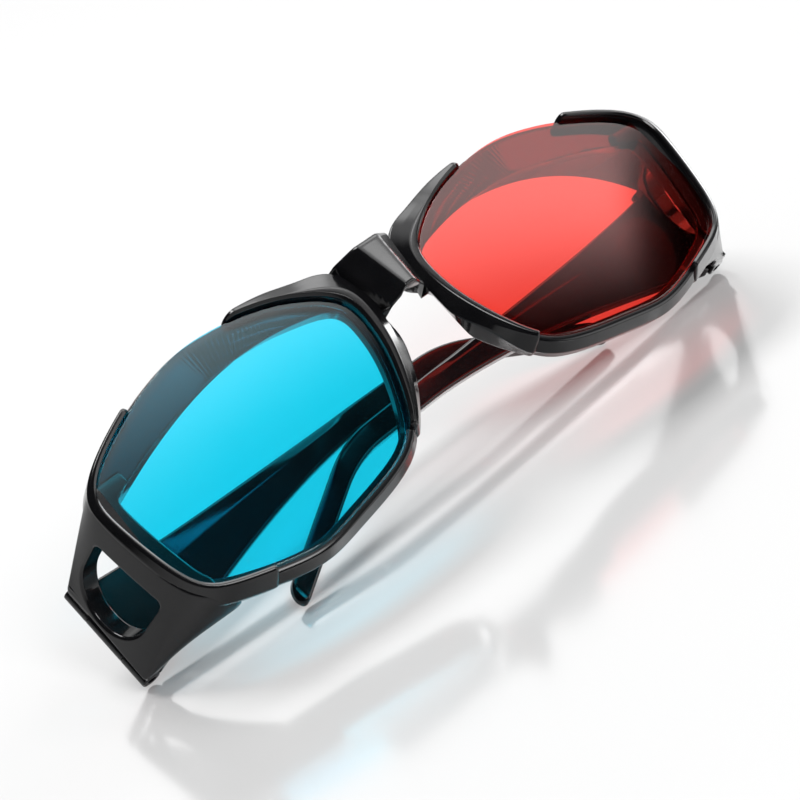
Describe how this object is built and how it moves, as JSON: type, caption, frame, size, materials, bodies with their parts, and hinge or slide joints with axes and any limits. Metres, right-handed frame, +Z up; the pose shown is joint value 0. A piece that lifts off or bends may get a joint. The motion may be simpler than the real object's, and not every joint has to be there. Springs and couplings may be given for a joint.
{
  "type": "3d glasses",
  "caption": "Anaglyph viewing glasses with red and cyan lenses, a glossy black wrap-around front with side windows, and hinged temples with ear hooks that fold behind the front.",
  "frame": {"origin": "on the floor under the middle of the folded glasses' box", "axes": "+X across the front towards the red lens, +Y away from the viewer of the lenses, +Z up from the floor the folded glasses lie on; the front leans back 46 degrees from upright"},
  "size_m": [0.1486, 0.0399, 0.0495],
  "materials": {
    "frame_black": "polished",
    "temple_black": "polished",
    "lens_cyan": "clear tinted",
    "lens_red": "clear tinted",
    "screw_steel": "turned"
  },
  "bodies": {
    "front": {"front_frame": "frame_black", "lens_cyan": "lens_cyan", "lens_red": "lens_red", "hinge_screw_left": "screw_steel", "hinge_screw_right": "screw_steel"},
    "temple_left_arm": {"temple_left": "temple_black"},
    "temple_right_arm": {"temple_right": "temple_black"}
  },
  "joints": [
    {"name": "left_hinge", "type": "hinge", "parent": "front", "child": "temple_left_arm", "pos_m": [-0.072, 0.01145, 0.00888], "axis": [-0.0175, 0.7192, 0.6946], "range_deg": [0, 90]},
    {"name": "right_hinge", "type": "hinge", "parent": "front", "child": "temple_right_arm", "pos_m": [0.072, 0.01145, 0.00888], "axis": [0.0558, -0.7182, -0.6936], "range_deg": [0, 93]}
  ],
  "couplings": [
    {"joint": "right_hinge", "follows": "left_hinge", "ratio": 1.03}
  ]
}
